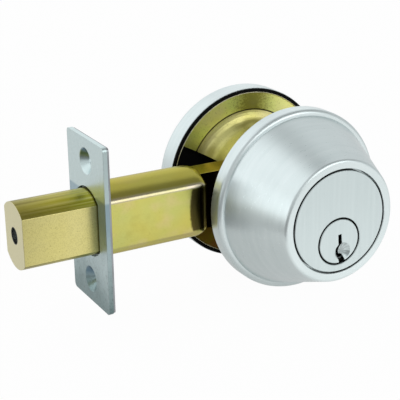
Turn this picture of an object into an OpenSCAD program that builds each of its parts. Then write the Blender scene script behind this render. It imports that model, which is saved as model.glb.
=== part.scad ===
// Tubular deadbolt for a hinged door: a key cylinder outside, a thumbturn inside.
// +Z is up, the lock's axis runs along Y with the keyed side at -Y, and the bolt points to -X.
// The origin is where the axis of the door's cross bore meets the axis of the bolt.
// The bolt is drawn thrown. It slides to +X while the turning parts swing a quarter turn about +Y.

/* [Door] */
// Space for the door, from the outside collar's rim to the inside gasket
door_gap = 28.5; // [28:0.5:44]
// Distance from the axis of the cross bore to the face of the faceplate
backset = 69.85; // [67:0.05:76]
// How far the key plug and the thumbturn sit below the bolt's axis
plug_drop = 6.86; // [6.6:0.02:7]

/* [Outside collar] */
// Radius of the collar's rim
collar_r = 31.75; // [31.4:0.05:34]
// Height of the collar off the door
collar_depth = 28.6; // [27:0.1:34]
// Straight band at the rim
collar_band = 3.8; // [3:0.1:5]
// Rounding between the band and the cone
collar_round = 1.5; // [1:0.1:2]
// Step between the band and the cone
collar_step = 2.05; // [1.85:0.05:2.6]
// Outer radius of the flat front ring
front_ring_r = 19.9; // [19.5:0.1:21]
// Rounding of the cone into the front ring
front_lip = 1.2; // [0.8:0.1:1.6]
// Wall of the collar
collar_wall = 2.2; // [1.8:0.1:2.6]
// Ledge that the cylinder's head pulls on
collar_ledge = 2.8; // [2:0.1:4]
// Thickness of the plate that closes the collar's back
outer_plate_t = 1.6; // [1.2:0.1:2]
// Length of the hardened guard ring
guard_len = 8; // [5:0.5:10]

/* [Key cylinder] */
// Radius of the cylinder's round face
face_r = 17.35; // [17:0.05:17.6]
// Thickness of the cylinder's head
head_t = 3.1; // [2.5:0.1:4]
// Radius of the cylinder's body
body_r = 16; // [15.7:0.1:16.2]
// Radius of the plug's face
plug_face_r = 7.6; // [7.3:0.05:7.8]
// Thickness of the plug's face
plug_face_t = 1.6; // [1.2:0.1:2]
// Radius of the plug
plug_r = 6.35; // [6.2:0.05:6.5]
// Number of pin chambers
pin_count = 5; // [4:1:6]
// Distance between pin chambers
pin_pitch = 3.97; // [3.8:0.01:4]
// Radius of the pins
pin_r = 1.4; // [1.3:0.05:1.5]
// Length of the driver pins
driver_len = 4.2; // [3.8:0.1:4.8]
// Turns of each pin spring
spring_turns = 7; // [5:1:8]
// Thickness of the wire of the pin springs
spring_wire = 0.36; // [0.3:0.02:0.4]
// Radius of the cap that holds the tailpiece
cap_r = 7.3; // [7:0.1:7.4]
// Length of the cap
cap_len = 5.4; // [5:0.1:6.5]
// Width of the tailpiece's blade
blade_w = 6.2; // [5.6:0.1:6.4]
// Thickness of the tailpiece's blade
blade_t = 1.5; // [1.2:0.1:1.8]
// Depth of the round dish in the plug's face
dish_depth = 0.9; // [0.6:0.1:1.2]
// Radius of the round dish in the plug's face
dish_r = 3.1; // [2.8:0.1:3.2]

/* [Bolt] */
// Radius of the bolt's round top and bottom
bolt_r = 11.15; // [11:0.05:11.3]
// Half the width of the bolt across its flats
bolt_half_w = 7.94; // [7.6:0.02:8]
// Travel of the bolt
throw = 25.4; // [24:0.1:26]
// Radius of the hardened roller inside the bolt
roller_r = 3.175; // [3:0.025:3.3]
// Radius of the hole in the bolt's end
nose_hole_r = 2.8; // [2.4:0.1:2.8]
// Depth of the hole in the bolt's end, up to the roller
nose_lip = 2.5; // [2:0.1:4]
// Thickness of the bolt's tail
tail_t = 3.2; // [2.8:0.1:3.4]
// Radius of the rivet that joins the bolt and its tail
tail_pin_r = 2; // [1.6:0.1:2.4]

/* [Bolt case] */
// Wall of the round bolt case
case_wall = 1; // [0.8:0.05:1.2]
// Rounding between the case's flat sides and its round top
case_edge = 1.8; // [1.2:0.1:2.4]
// Rounding of the case's closed end
case_end_round = 4.5; // [3.6:0.1:4.6]
// Distance from the cross bore's axis to the case's closed end
case_end = 28.6; // [28.2:0.1:33]
// Half the width of the narrow rear case
rear_half_w = 4.5; // [4.5:0.05:4.8]
// Wall of the rear case
rear_wall = 1.1; // [0.9:0.05:1.2]
// Top of the rear case where it leaves the bolt case
tongue_top = 10.5; // [10.2:0.1:10.6]
// Bottom of the rear case where it leaves the bolt case
tongue_bottom = 9.5; // [9.2:0.1:9.8]

/* [Faceplate] */
// Width of the faceplate
plate_w = 28.6; // [25.4:0.1:30]
// Height of the faceplate
plate_h = 57.15; // [56:0.05:60]
// Thickness of the faceplate
plate_t = 1.5; // [1.3:0.1:1.8]
// Rounding of the faceplate's corners
plate_corner = 1.5; // [1:0.1:3]
// Distance between the two screw holes
screw_spacing = 41.28; // [41:0.02:43]
// Radius of the screw holes
screw_hole_r = 2.2; // [2:0.1:2.5]
// Radius of the pressed countersinks
countersink_r = 4.5; // [4.2:0.1:4.8]
// Depth of the pressed countersinks
countersink_h = 2.4; // [2:0.1:2.6]
// Thickness of the backing plate
backing_t = 0.7; // [0.6:0.1:1.2]

/* [Crank] */
// Radius of the crank pin
crank_pin_r = 2; // [1.8:0.05:2.1]
// Thickness of the crank's fork
crank_t = 2.4; // [2:0.1:2.4]
// Width of each prong of the fork
prong_w = 2; // [1.6:0.1:2.2]
// Radius of the hub's journals
journal_r = 5.2; // [4.8:0.1:5.4]
// Half the width of the hub's square
hub_half = 4.9; // [4.6:0.1:5]
// Radius of the hub's rounded corners
hub_r = 6.2; // [6:0.1:6.3]
// Thickness of the detent spring
detent_t = 0.4; // [0.3:0.05:0.5]

/* [Inside trim] */
// Radius of the inside rose
rose_r = 31.75; // [31.4:0.05:34]
// Height of the rose off the door
rose_depth = 9.75; // [9.5:0.05:12]
// Wall of the rose
rose_wall = 0.9; // [0.8:0.05:1]
// Rounding of the rose
rose_round = 2.4; // [1.6:0.1:3]
// Radius of the support housing's neck
neck_r = 17.8; // [17.6:0.1:18]
// Wall of the neck
neck_wall = 1.5; // [1.2:0.1:1.8]
// Width of the black gasket outside the support ring
gasket_w = 1.35; // [1.3:0.05:1.6]
// Width of the support ring
ring_w = 6.4; // [6.2:0.1:6.8]
// Half the angle of the opening that lets the bolt case through
window_angle = 29; // [27:0.5:31]
// Thickness of the plate that the long screws pull on
mount_plate_t = 1.8; // [1.4:0.1:2]
// Radius of the thumbturn's shaft
shaft_r = 4.6; // [4.4:0.05:4.8]
// Radius of the thumbturn's base
turn_base_r = 12; // [10:0.5:13]
// Length of the thumbturn's grip
grip_len = 36; // [30:1:40]
// Thickness of the thumbturn's grip
grip_t = 8.4; // [7:0.2:9.4]
// Height of the thumbturn's grip
grip_h = 15; // [12:0.5:18]

/* [Fixings] */
// Radius of the long mounting screws
long_screw_r = 2.05; // [1.9:0.05:2.15]
// Distance from the plug's axis to each long screw
long_screw_x = 11; // [10.9:0.05:11.1]
// Radius of the long screws' heads
long_head_r = 4; // [3.6:0.1:4.1]
// Radius of the rose screws
rose_screw_r = 1.9; // [1.7:0.1:2]
// Distance from the rose's centre to each rose screw
rose_screw_x = 22.5; // [22:0.1:24]

/* [Hidden] */
$fn = 96;

// Clearances
press_gap = 0.02;   // a rivet or a pin in its hole
seat_gap = 0.05;    // a part dropped into its place
run_gap = 0.06;     // a shaft in its bearing
blade_gap = 0.15;   // the tailpiece and the bolt's tail in their slots
slide_gap = 0.2;    // the bolt in its case
loose_gap = 0.3;    // a part beside a moving one
ring_gap = 0.55;    // the open line round the cylinder's face and the plug's face
screw_gap = 0.5;    // a screw passing through a part it does not hold
edge_break = 0.2;   // small chamfer on both sides of that line
cut = 1;            // how far a cutting shape runs past the surface

// Outside trim along Y
axis_z = -plug_drop;
collar_y = -door_gap / 2;
front_y = collar_y - collar_depth;
shoulder_y = collar_y - collar_band - collar_round;
ledge_y = front_y + head_t + collar_ledge;
cone_r = collar_r - collar_step;
lip_run = shoulder_y - front_y - front_lip;
lip_step = cone_r - front_ring_r;
cone_lean = atan2(lip_step, lip_run) - asin(front_lip / norm([lip_step, lip_run]));
cone_skin = collar_wall / cos(cone_lean);
outer_plate_r = cone_r - slide_gap;
outer_plate_seat = 1.2;
outer_plate_inset = 0.4;
outer_plate_y = collar_y - outer_plate_inset - outer_plate_t;

// Key cylinder
cap_y = -rear_half_w - screw_gap;
cap_lip = 1.2;
cap_wall = 2.4;
cap_hole_r = blade_w / 2 + 1;
cap_back_y = cap_y - cap_len;
stub_r = cap_r - cap_wall;
stub_len = 2.4;
disc_t = 1.3;
disc_r = stub_r - 2 * seat_gap;
disc_y = cap_y - cap_lip - 2 * seat_gap - disc_t;
plug_bore_r = plug_r + run_gap;
first_pin_gap = 6.6;
first_pin_y = front_y + first_pin_gap;
cover_w = 3.7;
cover_t = 1.2;
cover_depth = 2.7;
cover_z = body_r - cover_depth;
cover_margin = 2.2;
cover_len = (pin_count - 1) * pin_pitch + 2 * cover_margin;
shear_z = axis_z + plug_r;
pin_hole_floor = 0.6;
key_pin_top = axis_z + sqrt(plug_r * plug_r - pin_r * pin_r) - press_gap;
key_pin_lens = [4.6, 3.8, 5.0, 4.2, 3.6, 4.4];
key_pin_tip = 0.7;
driver_z = shear_z + run_gap + press_gap;
spring_z = driver_z + driver_len;
spring_h = cover_z - spring_z - press_gap;
key_slot = [
    [-0.45, 2.3], [-0.2, -1.2], [-1.2, -2.5], [-0.95, -4.5], [-0.3, -5.8], [0.45, -8.2],
    [3.0, -8.2], [1.9, -5.4], [1.3, -4.7], [0.3, -4.5], [0.1, -3.5], [0.3, -2.5], [1.15, -0.8], [0.85, 2.5]
];
dish_x = 1.5;
dish_z = -3.7;
dish_ball_r = (dish_r * dish_r + dish_depth * dish_depth) / 2 / dish_depth;

// Bolt and its case along X
face_x = -backset;
plate_back_x = face_x + plate_t;
case_x = plate_back_x + backing_t;
case_back_x = -case_end;
case_r = bolt_r + slide_gap + case_wall;
case_half_w = bolt_half_w + slide_gap + case_wall;
bolt_x = face_x - throw;
bolt_back_x = case_back_x - case_end_round - loose_gap - throw;
slot_depth = 8;
slot_x = bolt_back_x - slot_depth;
tail_x = slot_x + loose_gap;
tail_pin_x = bolt_back_x - slot_depth / 2;
roller_x = bolt_x + nose_lip;
roller_bore_r = roller_r + run_gap;

// Rear case and crank
swing = 45;
crank_x = -throw / 2;
crank_rise = throw / 2 / tan(swing);
crank_z = axis_z + crank_rise;
inner_half = rear_half_w - rear_wall;
tail_back_gap = 0.7;
tail_y = inner_half - tail_back_gap - tail_t;
tail_pin_drop = 3.5;
tail_mid_z = crank_z - tail_pin_drop;
tail_rim = 0.9;
tail_eye_r = crank_pin_r + tail_rim;
tail_low = -4.2;
tail_relief = 13.7;
tail_step_x = -throw - tail_relief;
crank_y = tail_y - loose_gap - crank_t;
fork_play = 1.15;
fork_slot = crank_pin_r + fork_play;
fork_half = fork_slot + prong_w;
fork_tip = 1.2;
fork_r = crank_rise / cos(swing) + fork_tip;
fork_reach = fork_r * sin(swing + asin(fork_half / fork_r));
hub_step = 0.4;
hub_end_gap = 0.1;
hump_r = fork_r + loose_gap + rear_wall;
bay_end = fork_reach + loose_gap + rear_wall;
sump_half_w = 14;
detent_drop = 1.7;
sump_bottom = -axis_z + hub_half + detent_t + detent_drop + rear_wall;
rear_lap = 0.8;
rear_front_x = case_back_x - case_wall - rear_lap;
rivet_r = 1.5;
rivet_edge = 2.2;
rivet_z = -tongue_bottom + rivet_edge;
rivet_inset = 6;
rivet_spots = [rear_front_x + rivet_inset, rivet_edge - bay_end, bay_end - rivet_edge];
detent_half = 11.5;

// Faceplate
backing_inset = 0.3;
opening_gap = 0.7;
dimple_land = 0.8;
dimple_end_x = face_x + countersink_h + dimple_land;
dimple_step = 0.3;
dimple_r = countersink_r - dimple_step;
dimple_wall = 0.9;
dimple_end_r = screw_hole_r + dimple_wall;

// Inside trim along Y
inside_y = door_gap / 2;
gasket_t = 0.7;
web_depth = 1.95;
web_y = inside_y + web_depth;
web_t = 1;
mount_y = web_y + web_t;
mount_back_y = mount_y + mount_plate_t;
rose_y = inside_y + gasket_t;
rose_face_y = inside_y + rose_depth;
rose_bore_r = rose_r - rose_wall;
flange_depth = 0.75;
flange_y = inside_y + flange_depth;
ring_r = rose_r - gasket_w;
seam_r = ring_r - ring_w;
seam_gap = 0.25;
flare_r = seam_r - seam_gap - neck_r;
flare_y = flange_y - flare_r;
ring_depth = 0.1;
ring_edge_y = inside_y + ring_depth;
ring_skirt = 0.45;
ring_bore_r = ring_r - ring_skirt;
ring_lip = 0.35;
gasket_lap = 0.1;
gasket_inset = 0.2;
bushing_wall = 1.6;
bushing_rim = 2;
bushing_r = shaft_r + bushing_wall;
bushing_flange_r = bushing_r + bushing_rim;
bushing_flange_t = 1;
bushing_len = 2;
shaft_y = mount_back_y + loose_gap;
turn_y = rose_face_y + bushing_flange_t;
washer_t = 0.4;
clip_t = 0.8;
clip_groove = 0.5;
clip_mouth = shaft_r * 1.1;
washer_y = rose_face_y - bushing_len - washer_t - seat_gap;
clip_y = washer_y - clip_t - seat_gap;
turn_base_t = 3;
turn_chamfer = 1;
grip_y = turn_y + turn_base_t - turn_chamfer;
grip_top_y = turn_y + turn_base_t + grip_h;
grip_crown_r = 40;
grip_flare = 4;
grip_reach = grip_len / 2 + grip_flare;
blade_end_gap = 1.4;
blade_end_y = turn_y - blade_end_gap;

// Screws
screw_bite = 14;
screw_tip_y = -rear_half_w - screw_bite;
screw_end_gap = 1;
long_neck = 1.56;
long_crown = 1.04;
long_crown_r = 0.7 * long_head_r;
long_recess_r = 0.55 * long_head_r;
long_recess = 1.4;
head_flare = 1.6;
rose_head_h = rose_wall + 0.4;
rose_recess = 1;
mount_hole_r = blade_w / 2 + 1.4;

function arc(cx, cy, r, from, to, steps) =
    [for (i = [0:steps]) let (a = from + (to - from) * i / steps) [cx + r * cos(a), cy + r * sin(a)]];
function cone_bore(y) = cone_r - cone_skin - (shoulder_y - y) * tan(cone_lean);

module along_y(from, to) translate([0, to, 0]) rotate([90, 0, 0])
    linear_extrude(height = to - from) children();
module along_x(from, to) translate([from, 0, 0]) rotate([90, 0, 90])
    linear_extrude(height = to - from) children();
module turned_y() rotate([-90, 0, 0]) rotate_extrude() children();
module turned_x() rotate([0, 90, 0]) rotate_extrude() children();
module rod_y(r, from, to) translate([0, to, 0]) rotate([90, 0, 0]) cylinder(r = r, h = to - from);
module rod_x(r, from, to) translate([from, 0, 0]) rotate([0, 90, 0]) cylinder(r = r, h = to - from);
module face_rod(r, from, to) {
    rod_y(r, from + edge_break, to);
    translate([0, from + edge_break, 0]) rotate([90, 0, 0])
        cylinder(r1 = r, r2 = r - edge_break, h = edge_break);
}
module face_bore(r, from, to) {
    rod_y(r, from - cut, to);
    translate([0, from + edge_break, 0]) rotate([90, 0, 0])
        cylinder(r1 = r, r2 = r + edge_break + cut, h = edge_break + cut);
}
module at_plug() translate([0, 0, axis_z]) children();
module both_screws() for (side = [-1, 1]) translate([side * long_screw_x, 0, axis_z]) children();
module both_sides(x) for (side = [-1, 1]) translate([side * x, 0, 0]) children();
module both_holes() for (side = [-1, 1]) translate([0, 0, side * screw_spacing / 2]) children();
module each_pin() for (i = [0:pin_count - 1]) translate([0, first_pin_y + i * pin_pitch, 0]) children();

// Outside trim

module outer_collar() color("#c3ccd0") turned_y() polygon(concat(
    [[outer_plate_r, collar_y], [collar_r, collar_y]],
    arc(collar_r - collar_round, collar_y - collar_band, collar_round, 0, -90, 6),
    [[cone_r, shoulder_y]],
    arc(front_ring_r, front_y + front_lip, front_lip, -cone_lean, -90, 6),
    [
        [face_r + ring_gap + edge_break, front_y], [face_r + ring_gap, front_y + edge_break],
        [face_r + ring_gap, front_y + head_t],
        [body_r + seat_gap, front_y + head_t], [body_r + seat_gap, ledge_y],
        [cone_bore(ledge_y), ledge_y], [cone_bore(shoulder_y), shoulder_y],
        [outer_plate_r - outer_plate_seat, outer_plate_y], [outer_plate_r, outer_plate_y]
    ]
));

module guard_ring() color("#7c8288") difference() {
    rod_y(cone_bore(ledge_y) - loose_gap, ledge_y, ledge_y + guard_len);
    rod_y(body_r + loose_gap, ledge_y - cut, ledge_y + guard_len + cut);
}

module outer_plate() color("#b9a548") difference() {
    rod_y(outer_plate_r - seat_gap, outer_plate_y, outer_plate_y + outer_plate_t);
    rod_y(body_r + seat_gap, outer_plate_y - cut, outer_plate_y + outer_plate_t + cut);
}

// Key cylinder

module pin_holes(bottom, top) each_pin() translate([0, 0, bottom])
    cylinder(r = pin_r + seat_gap, h = top - bottom);

module cover_slot(gap) translate([-cover_w / 2 - gap, first_pin_y - cover_margin - gap, cover_z])
    cube([cover_w + 2 * gap, cover_len + 2 * gap, body_r]);

module cylinder_body() color("#c6ab62") difference() {
    union() {
        face_rod(face_r, front_y, front_y + head_t);
        rod_y(body_r, front_y + head_t, -rear_half_w);
    }
    at_plug() rod_y(plug_bore_r, front_y - cut, -rear_half_w);
    at_plug() face_bore(plug_face_r + ring_gap, front_y, front_y + plug_face_t + seat_gap);
    at_plug() rod_y(cap_r + slide_gap, cap_back_y - run_gap, -rear_half_w + cut);
    pin_holes(axis_z, cover_z + cut);
    cover_slot(seat_gap);
    both_screws() rod_y(long_screw_r + seat_gap, screw_tip_y - screw_end_gap, -rear_half_w + cut);
}

module cylinder_plug() color("#c9b37a") difference() {
    at_plug() union() {
        face_rod(plug_face_r, front_y, front_y + plug_face_t);
        rod_y(plug_r, front_y + plug_face_t, cap_back_y);
        rod_y(stub_r, cap_back_y, cap_back_y + stub_len);
    }
    at_plug() along_y(front_y - cut, cap_back_y + stub_len + cut) polygon(key_slot);
    at_plug() translate([dish_x, front_y + dish_depth - dish_ball_r, dish_z]) sphere(r = dish_ball_r);
    pin_holes(axis_z + pin_hole_floor, axis_z + plug_r + cut);
}

module key_pins() color("#d9b25c") for (i = [0:pin_count - 1])
    translate([0, first_pin_y + i * pin_pitch, key_pin_top - key_pin_lens[i]]) {
        cylinder(r1 = pin_r - key_pin_tip, r2 = pin_r, h = key_pin_tip);
        translate([0, 0, key_pin_tip]) cylinder(r = pin_r, h = key_pin_lens[i] - key_pin_tip);
    }

module driver_pins() color("#b08d45") each_pin() translate([0, 0, driver_z])
    cylinder(r = pin_r, h = driver_len);

// A coil as a tube of six sides along a helix.
module coil(r, wire, turns, height, steps = 8, sides = 6) {
    rings = turns * steps;
    points = [for (i = [0:rings], k = [0:sides - 1])
        let (a = 360 * i / steps, b = 360 * k / sides, d = r + wire / 2 * cos(b))
        [d * cos(a), d * sin(a), wire / 2 + (height - wire) * i / rings + wire / 2 * sin(b)]];
    walls = [for (i = [0:rings - 1], k = [0:sides - 1], half = [0, 1])
        let (a = i * sides + k, b = i * sides + (k + 1) % sides)
        half == 0 ? [a, a + sides, b + sides] : [a, b + sides, b]];
    ends = [for (k = [1:sides - 2], end = [0, 1])
        end == 0 ? [0, k, k + 1] : [rings * sides, rings * sides + k + 1, rings * sides + k]];
    polyhedron(points, concat(walls, ends));
}

module pin_springs() color("#8d8f92") each_pin() translate([0, 0, spring_z + 0.01])
    coil(pin_r - spring_wire / 2 - 0.05, spring_wire, spring_turns, spring_h);

module pin_chamber_cover() color("#cdb56f") intersection() {
    translate([-cover_w / 2, first_pin_y - cover_margin, cover_z]) cube([cover_w, cover_len, cover_t]);
    rod_y(body_r, front_y, 0);
}

module plug_cap() color("#b99a55") at_plug() difference() {
    rod_y(cap_r, cap_back_y, cap_y);
    rod_y(stub_r + seat_gap, cap_back_y - cut, cap_y - cap_lip);
    rod_y(cap_hole_r, cap_y - 2 * cap_lip, cap_y + cut);
}

module tailpiece() color("#a7abae") at_plug() {
    rod_y(disc_r, disc_y, disc_y + disc_t);
    translate([-blade_w / 2, disc_y + disc_t, -blade_t / 2])
        cube([blade_w, blade_end_y - disc_y - disc_t, blade_t]);
}

// Bolt

module bolt_section(grow) intersection() {
    circle(r = bolt_r + grow);
    square([2 * (bolt_half_w + grow), 4 * bolt_r], center = true);
}

module deadbolt() color("#c9a94f") difference() {
    along_x(bolt_x, bolt_back_x) bolt_section(0);
    rod_x(nose_hole_r, bolt_x - cut, roller_x + cut);
    rod_x(roller_bore_r, roller_x, slot_x + cut);
    translate([slot_x, tail_y - blade_gap, -2 * bolt_r])
        cube([slot_depth + cut, tail_t + 2 * blade_gap, 4 * bolt_r]);
    translate([tail_pin_x, 0, tail_mid_z]) rod_y(tail_pin_r + press_gap, -bolt_r, bolt_r);
}

module bolt_roller() color("#6f757a") rod_x(roller_r, roller_x + blade_gap, slot_x - blade_gap);

module bolt_tail() color("#8f9598") difference() {
    along_y(tail_y, tail_y + tail_t) {
        translate([tail_x, tail_low]) square([tail_step_x - tail_x, crank_z + tail_eye_r - tail_low]);
        translate([tail_x, crank_z - tail_eye_r]) square([crank_x - tail_x, 2 * tail_eye_r]);
        translate([crank_x, crank_z]) circle(r = tail_eye_r);
    }
    translate([crank_x, 0, crank_z]) rod_y(crank_pin_r + press_gap, -bolt_r, bolt_r);
    translate([tail_pin_x, 0, tail_mid_z]) rod_y(tail_pin_r + press_gap, -bolt_r, bolt_r);
}

module tail_rivet() color("#9a9ea0") translate([tail_pin_x, 0, tail_mid_z])
    rod_y(tail_pin_r, -bolt_half_w + seat_gap, bolt_half_w - seat_gap);

// The case's outline: flat sides that roll into a round top and bottom.
module case_section(inset) {
    r = case_r - inset;
    w = case_half_w - inset;
    e = max(case_edge - inset, 0.2);
    corner_z = sqrt((r - e) * (r - e) - (w - e) * (w - e));
    for (side = [-1, 1]) intersection() {
        circle(r = r);
        polygon([[0, 0], 2 * [w - e, side * corner_z], [0, side * 3 * r], 2 * [-w + e, side * corner_z]]);
    }
    square([2 * w, 2 * corner_z], center = true);
    for (x = [-1, 1], z = [-1, 1]) translate([x * (w - e), z * corner_z]) circle(r = e);
}

// The case's body with its closed end rolled inwards.
module case_form(inset, from, to) {
    e = case_end_round - inset;
    r = case_r - inset;
    w = case_half_w - inset;
    intersection() {
        along_x(from, to) case_section(inset);
        turned_x() polygon(concat([[0, from]], [[r, from]], arc(r - e, to - e, e, 0, 90, 8), [[0, to]]));
        translate([0, 0, -2 * r]) linear_extrude(height = 4 * r)
            polygon(concat([[from, -w], [to - e, -w]], arc(to - e, -w + e, e, -90, 0, 8),
                arc(to - e, w - e, e, 0, 90, 8), [[from, w]]));
    }
}

module bolt_case() color("#cdbb5c") difference() {
    case_form(0, case_x, case_back_x);
    case_form(case_wall, case_x - cut, case_back_x - case_wall);
    translate([case_back_x - case_end_round, -rear_half_w - seat_gap, -tongue_bottom - seat_gap])
        cube([case_end_round + cut, 2 * (rear_half_w + seat_gap), tongue_bottom + tongue_top + 2 * seat_gap]);
}

// The outline of the faceplate and of the plate behind it.
module plate_shape(inset) {
    w = plate_w / 2 - inset;
    h = plate_h / 2 - inset;
    r = plate_corner - inset;
    square([2 * (w - r), 2 * h], center = true);
    square([2 * w, 2 * (h - r)], center = true);
    for (y = [-1, 1], z = [-1, 1]) translate([y * (w - r), z * (h - r)]) circle(r = r);
}

// A cone along X.
module cone_x(r1, r2, from, to) translate([from, 0, 0]) rotate([0, 90, 0])
    cylinder(r1 = r1, r2 = r2, h = to - from);

// The countersinks are pressed into the plate, so their cones stand out behind it.
module faceplate() color("#c3ccd0") difference() {
    union() {
        along_x(face_x, plate_back_x) plate_shape(0);
        both_holes() cone_x(dimple_r, dimple_end_r, plate_back_x, dimple_end_x);
    }
    along_x(face_x - cut, plate_back_x + cut) bolt_section(opening_gap);
    both_holes() {
        rod_x(screw_hole_r, face_x - cut, dimple_end_x + cut);
        cone_x(countersink_r, screw_hole_r, face_x, face_x + countersink_h);
    }
}

module backing_plate() color("#b9a548") difference() {
    along_x(plate_back_x, case_x) plate_shape(backing_inset);
    along_x(plate_back_x - cut, case_x + cut) bolt_section(slide_gap);
    both_holes() rod_x(dimple_r + loose_gap, plate_back_x - cut, case_x + cut);
}

// Rear case and crank

module rear_outline(inset) {
    translate([rear_front_x, -tongue_bottom + inset])
        square([bay_end - inset - rear_front_x, tongue_bottom + tongue_top - 2 * inset]);
    translate([-sump_half_w + inset, -sump_bottom + inset])
        square([2 * (sump_half_w - inset), sump_bottom]);
    intersection() {
        translate([0, axis_z]) circle(r = hump_r - inset);
        translate([-sump_half_w, 0]) square([2 * sump_half_w, hump_r]);
    }
}

module rear_holes() {
    at_plug() rod_y(journal_r + run_gap, -rear_half_w - cut, rear_half_w + cut);
    both_screws() rod_y(long_screw_r + screw_gap, -rear_half_w - cut, rear_half_w + cut);
    for (x = rivet_spots) translate([x, 0, rivet_z])
        rod_y(rivet_r + press_gap, -rear_half_w - cut, rear_half_w + cut);
}

module rear_case() color("#c2ad55") difference() {
    along_y(-rear_half_w, inner_half) rear_outline(0);
    along_y(-inner_half, inner_half + cut) union() {
        rear_outline(rear_wall);
        translate([rear_front_x - cut, -tongue_bottom + rear_wall])
            square([2 * cut, tongue_bottom + tongue_top - 2 * rear_wall]);
    }
    rear_holes();
}

module rear_case_cover() color("#c2ad55") difference() {
    along_y(inner_half, rear_half_w) rear_outline(0);
    rear_holes();
}

module case_rivets() color("#9a9ea0") for (x = rivet_spots)
    translate([x, 0, rivet_z]) rod_y(rivet_r, -rear_half_w, rear_half_w);

module blade_slot(from, to) translate([-blade_w / 2 - blade_gap, from, -blade_t / 2 - blade_gap])
    cube([blade_w + 2 * blade_gap, to - from, blade_t + 2 * blade_gap]);

// The crank's fork, pointing up.
module fork() difference() {
    union() {
        circle(r = hub_r + hub_step);
        intersection() {
            translate([-fork_half, 0]) square([2 * fork_half, fork_r]);
            circle(r = fork_r);
        }
    }
    translate([0, crank_rise]) circle(r = fork_slot);
    translate([-fork_slot, crank_rise]) square([2 * fork_slot, fork_r]);
}

module drive_cam() color("#8a7f5a") at_plug() difference() {
    union() {
        rod_y(journal_r, -rear_half_w + hub_end_gap, crank_y);
        along_y(crank_y, crank_y + crank_t) rotate(swing) fork();
        along_y(crank_y + crank_t, inner_half - hub_end_gap) intersection() {
            square(2 * hub_half, center = true);
            circle(r = hub_r);
        }
        rod_y(journal_r, inner_half - hub_end_gap, rear_half_w - hub_end_gap);
    }
    blade_slot(-rear_half_w - cut, rear_half_w + cut);
}

module crank_pin() color("#9a9ea0") translate([crank_x, 0, crank_z])
    rod_y(crank_pin_r, crank_y, tail_y + tail_t);

module detent_spring() color("#8d8f92") {
    top = axis_z - hub_half - seat_gap;
    floor = -sump_bottom + rear_wall + seat_gap;
    y = crank_y + crank_t + loose_gap;
    width = inner_half - loose_gap - y;
    translate([-detent_half, y, top - detent_t]) cube([2 * detent_half, width, detent_t]);
    for (side = [-1, 1]) translate([side * (detent_half - detent_t / 2) - detent_t / 2, y, floor])
        cube([detent_t, width, top - detent_t - floor]);
}

// Inside trim

module window(r) along_y(0, web_y + cut)
    polygon(concat([[0, 0]], arc(0, 0, r, 180 - window_angle, 180 + window_angle, 16)));

module support_housing() color("#cdbb5c") difference() {
    turned_y() polygon(concat(
        [[neck_r - neck_wall, rear_half_w], [neck_r, rear_half_w]],
        arc(neck_r + flare_r, flare_y, flare_r, 180, 90, 10),
        [[seam_r - seam_gap, web_y], [neck_r - neck_wall, web_y]]
    ));
    window(2 * seam_r);
}

module support_ring() color("#cdbb5c") difference() {
    turned_y() polygon([
        [seam_r, flange_y], [ring_bore_r, ring_edge_y + ring_lip], [ring_r - ring_skirt / 2, ring_edge_y],
        [ring_r, ring_edge_y + ring_lip / 2], [ring_r, web_y], [ring_bore_r, web_y],
        [ring_bore_r, flange_y + ring_lip], [seam_r + ring_skirt, flange_y + ring_skirt],
        [seam_r + ring_skirt, web_y], [seam_r, web_y]
    ]);
    window(ring_bore_r);
}

module rose_gasket() color("#141414") turned_y() polygon([
    [ring_r + gasket_lap, inside_y], [rose_r - gasket_inset, inside_y], [rose_r - gasket_inset, rose_y],
    [rose_bore_r - seat_gap, rose_y],
    [rose_bore_r - seat_gap, mount_y], [neck_r - neck_wall, mount_y], [neck_r - neck_wall, web_y],
    [ring_r + gasket_lap, web_y]
]);

module mount_plate() color("#b9a548") difference() {
    rod_y(rose_bore_r - 2 * seat_gap, mount_y, mount_back_y);
    at_plug() rod_y(mount_hole_r, mount_y - cut, mount_back_y + cut);
    both_screws() rod_y(long_screw_r + seat_gap, mount_y - cut, mount_back_y + cut);
    both_sides(rose_screw_x) rod_y(rose_screw_r + press_gap, mount_y - cut, mount_back_y + cut);
}

module cross_recess(r, depth) for (turn = [0, 90]) rotate([0, turn, 0])
    translate([-r, -depth, -r / 5]) cube([2 * r, 2 * depth, 2 * r / 5]);

module mounting_screws() color("#b9bdc0") both_screws() difference() {
    union() {
        rod_y(long_screw_r, screw_tip_y, mount_back_y);
        rod_y(long_head_r, mount_back_y, mount_back_y + long_neck);
        translate([0, mount_back_y + long_neck, 0]) rotate([-90, 0, 0])
            cylinder(r1 = long_head_r, r2 = long_crown_r, h = long_crown);
    }
    translate([0, mount_back_y + long_neck + long_crown, 0]) cross_recess(long_recess_r, long_recess);
}

module inside_rose() color("#c3ccd0") difference() {
    turned_y() polygon(concat(
        [[rose_bore_r, rose_y], [rose_r, rose_y]],
        arc(rose_r - rose_round, rose_face_y - rose_round, rose_round, 0, 90, 8),
        [[0, rose_face_y], [0, rose_face_y - rose_wall]],
        arc(rose_r - rose_round, rose_face_y - rose_round, rose_round - rose_wall, 90, 0, 8)
    ));
    at_plug() rod_y(bushing_r + seat_gap, rose_face_y - 2 * rose_wall, rose_face_y + cut);
    both_sides(rose_screw_x) translate([0, rose_face_y, 0]) rotate([90, 0, 0])
        cylinder(r1 = rose_screw_r + head_flare + seat_gap, r2 = rose_screw_r + seat_gap, h = rose_head_h);
}

module rose_screws() color("#b9bdc0") both_sides(rose_screw_x) difference() {
    union() {
        rod_y(rose_screw_r, mount_y + loose_gap, rose_face_y - rose_head_h);
        translate([0, rose_face_y, 0]) rotate([90, 0, 0])
            cylinder(r1 = rose_screw_r + head_flare, r2 = rose_screw_r, h = rose_head_h);
    }
    translate([0, rose_face_y, 0]) cross_recess(rose_screw_r, rose_recess);
}

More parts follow.
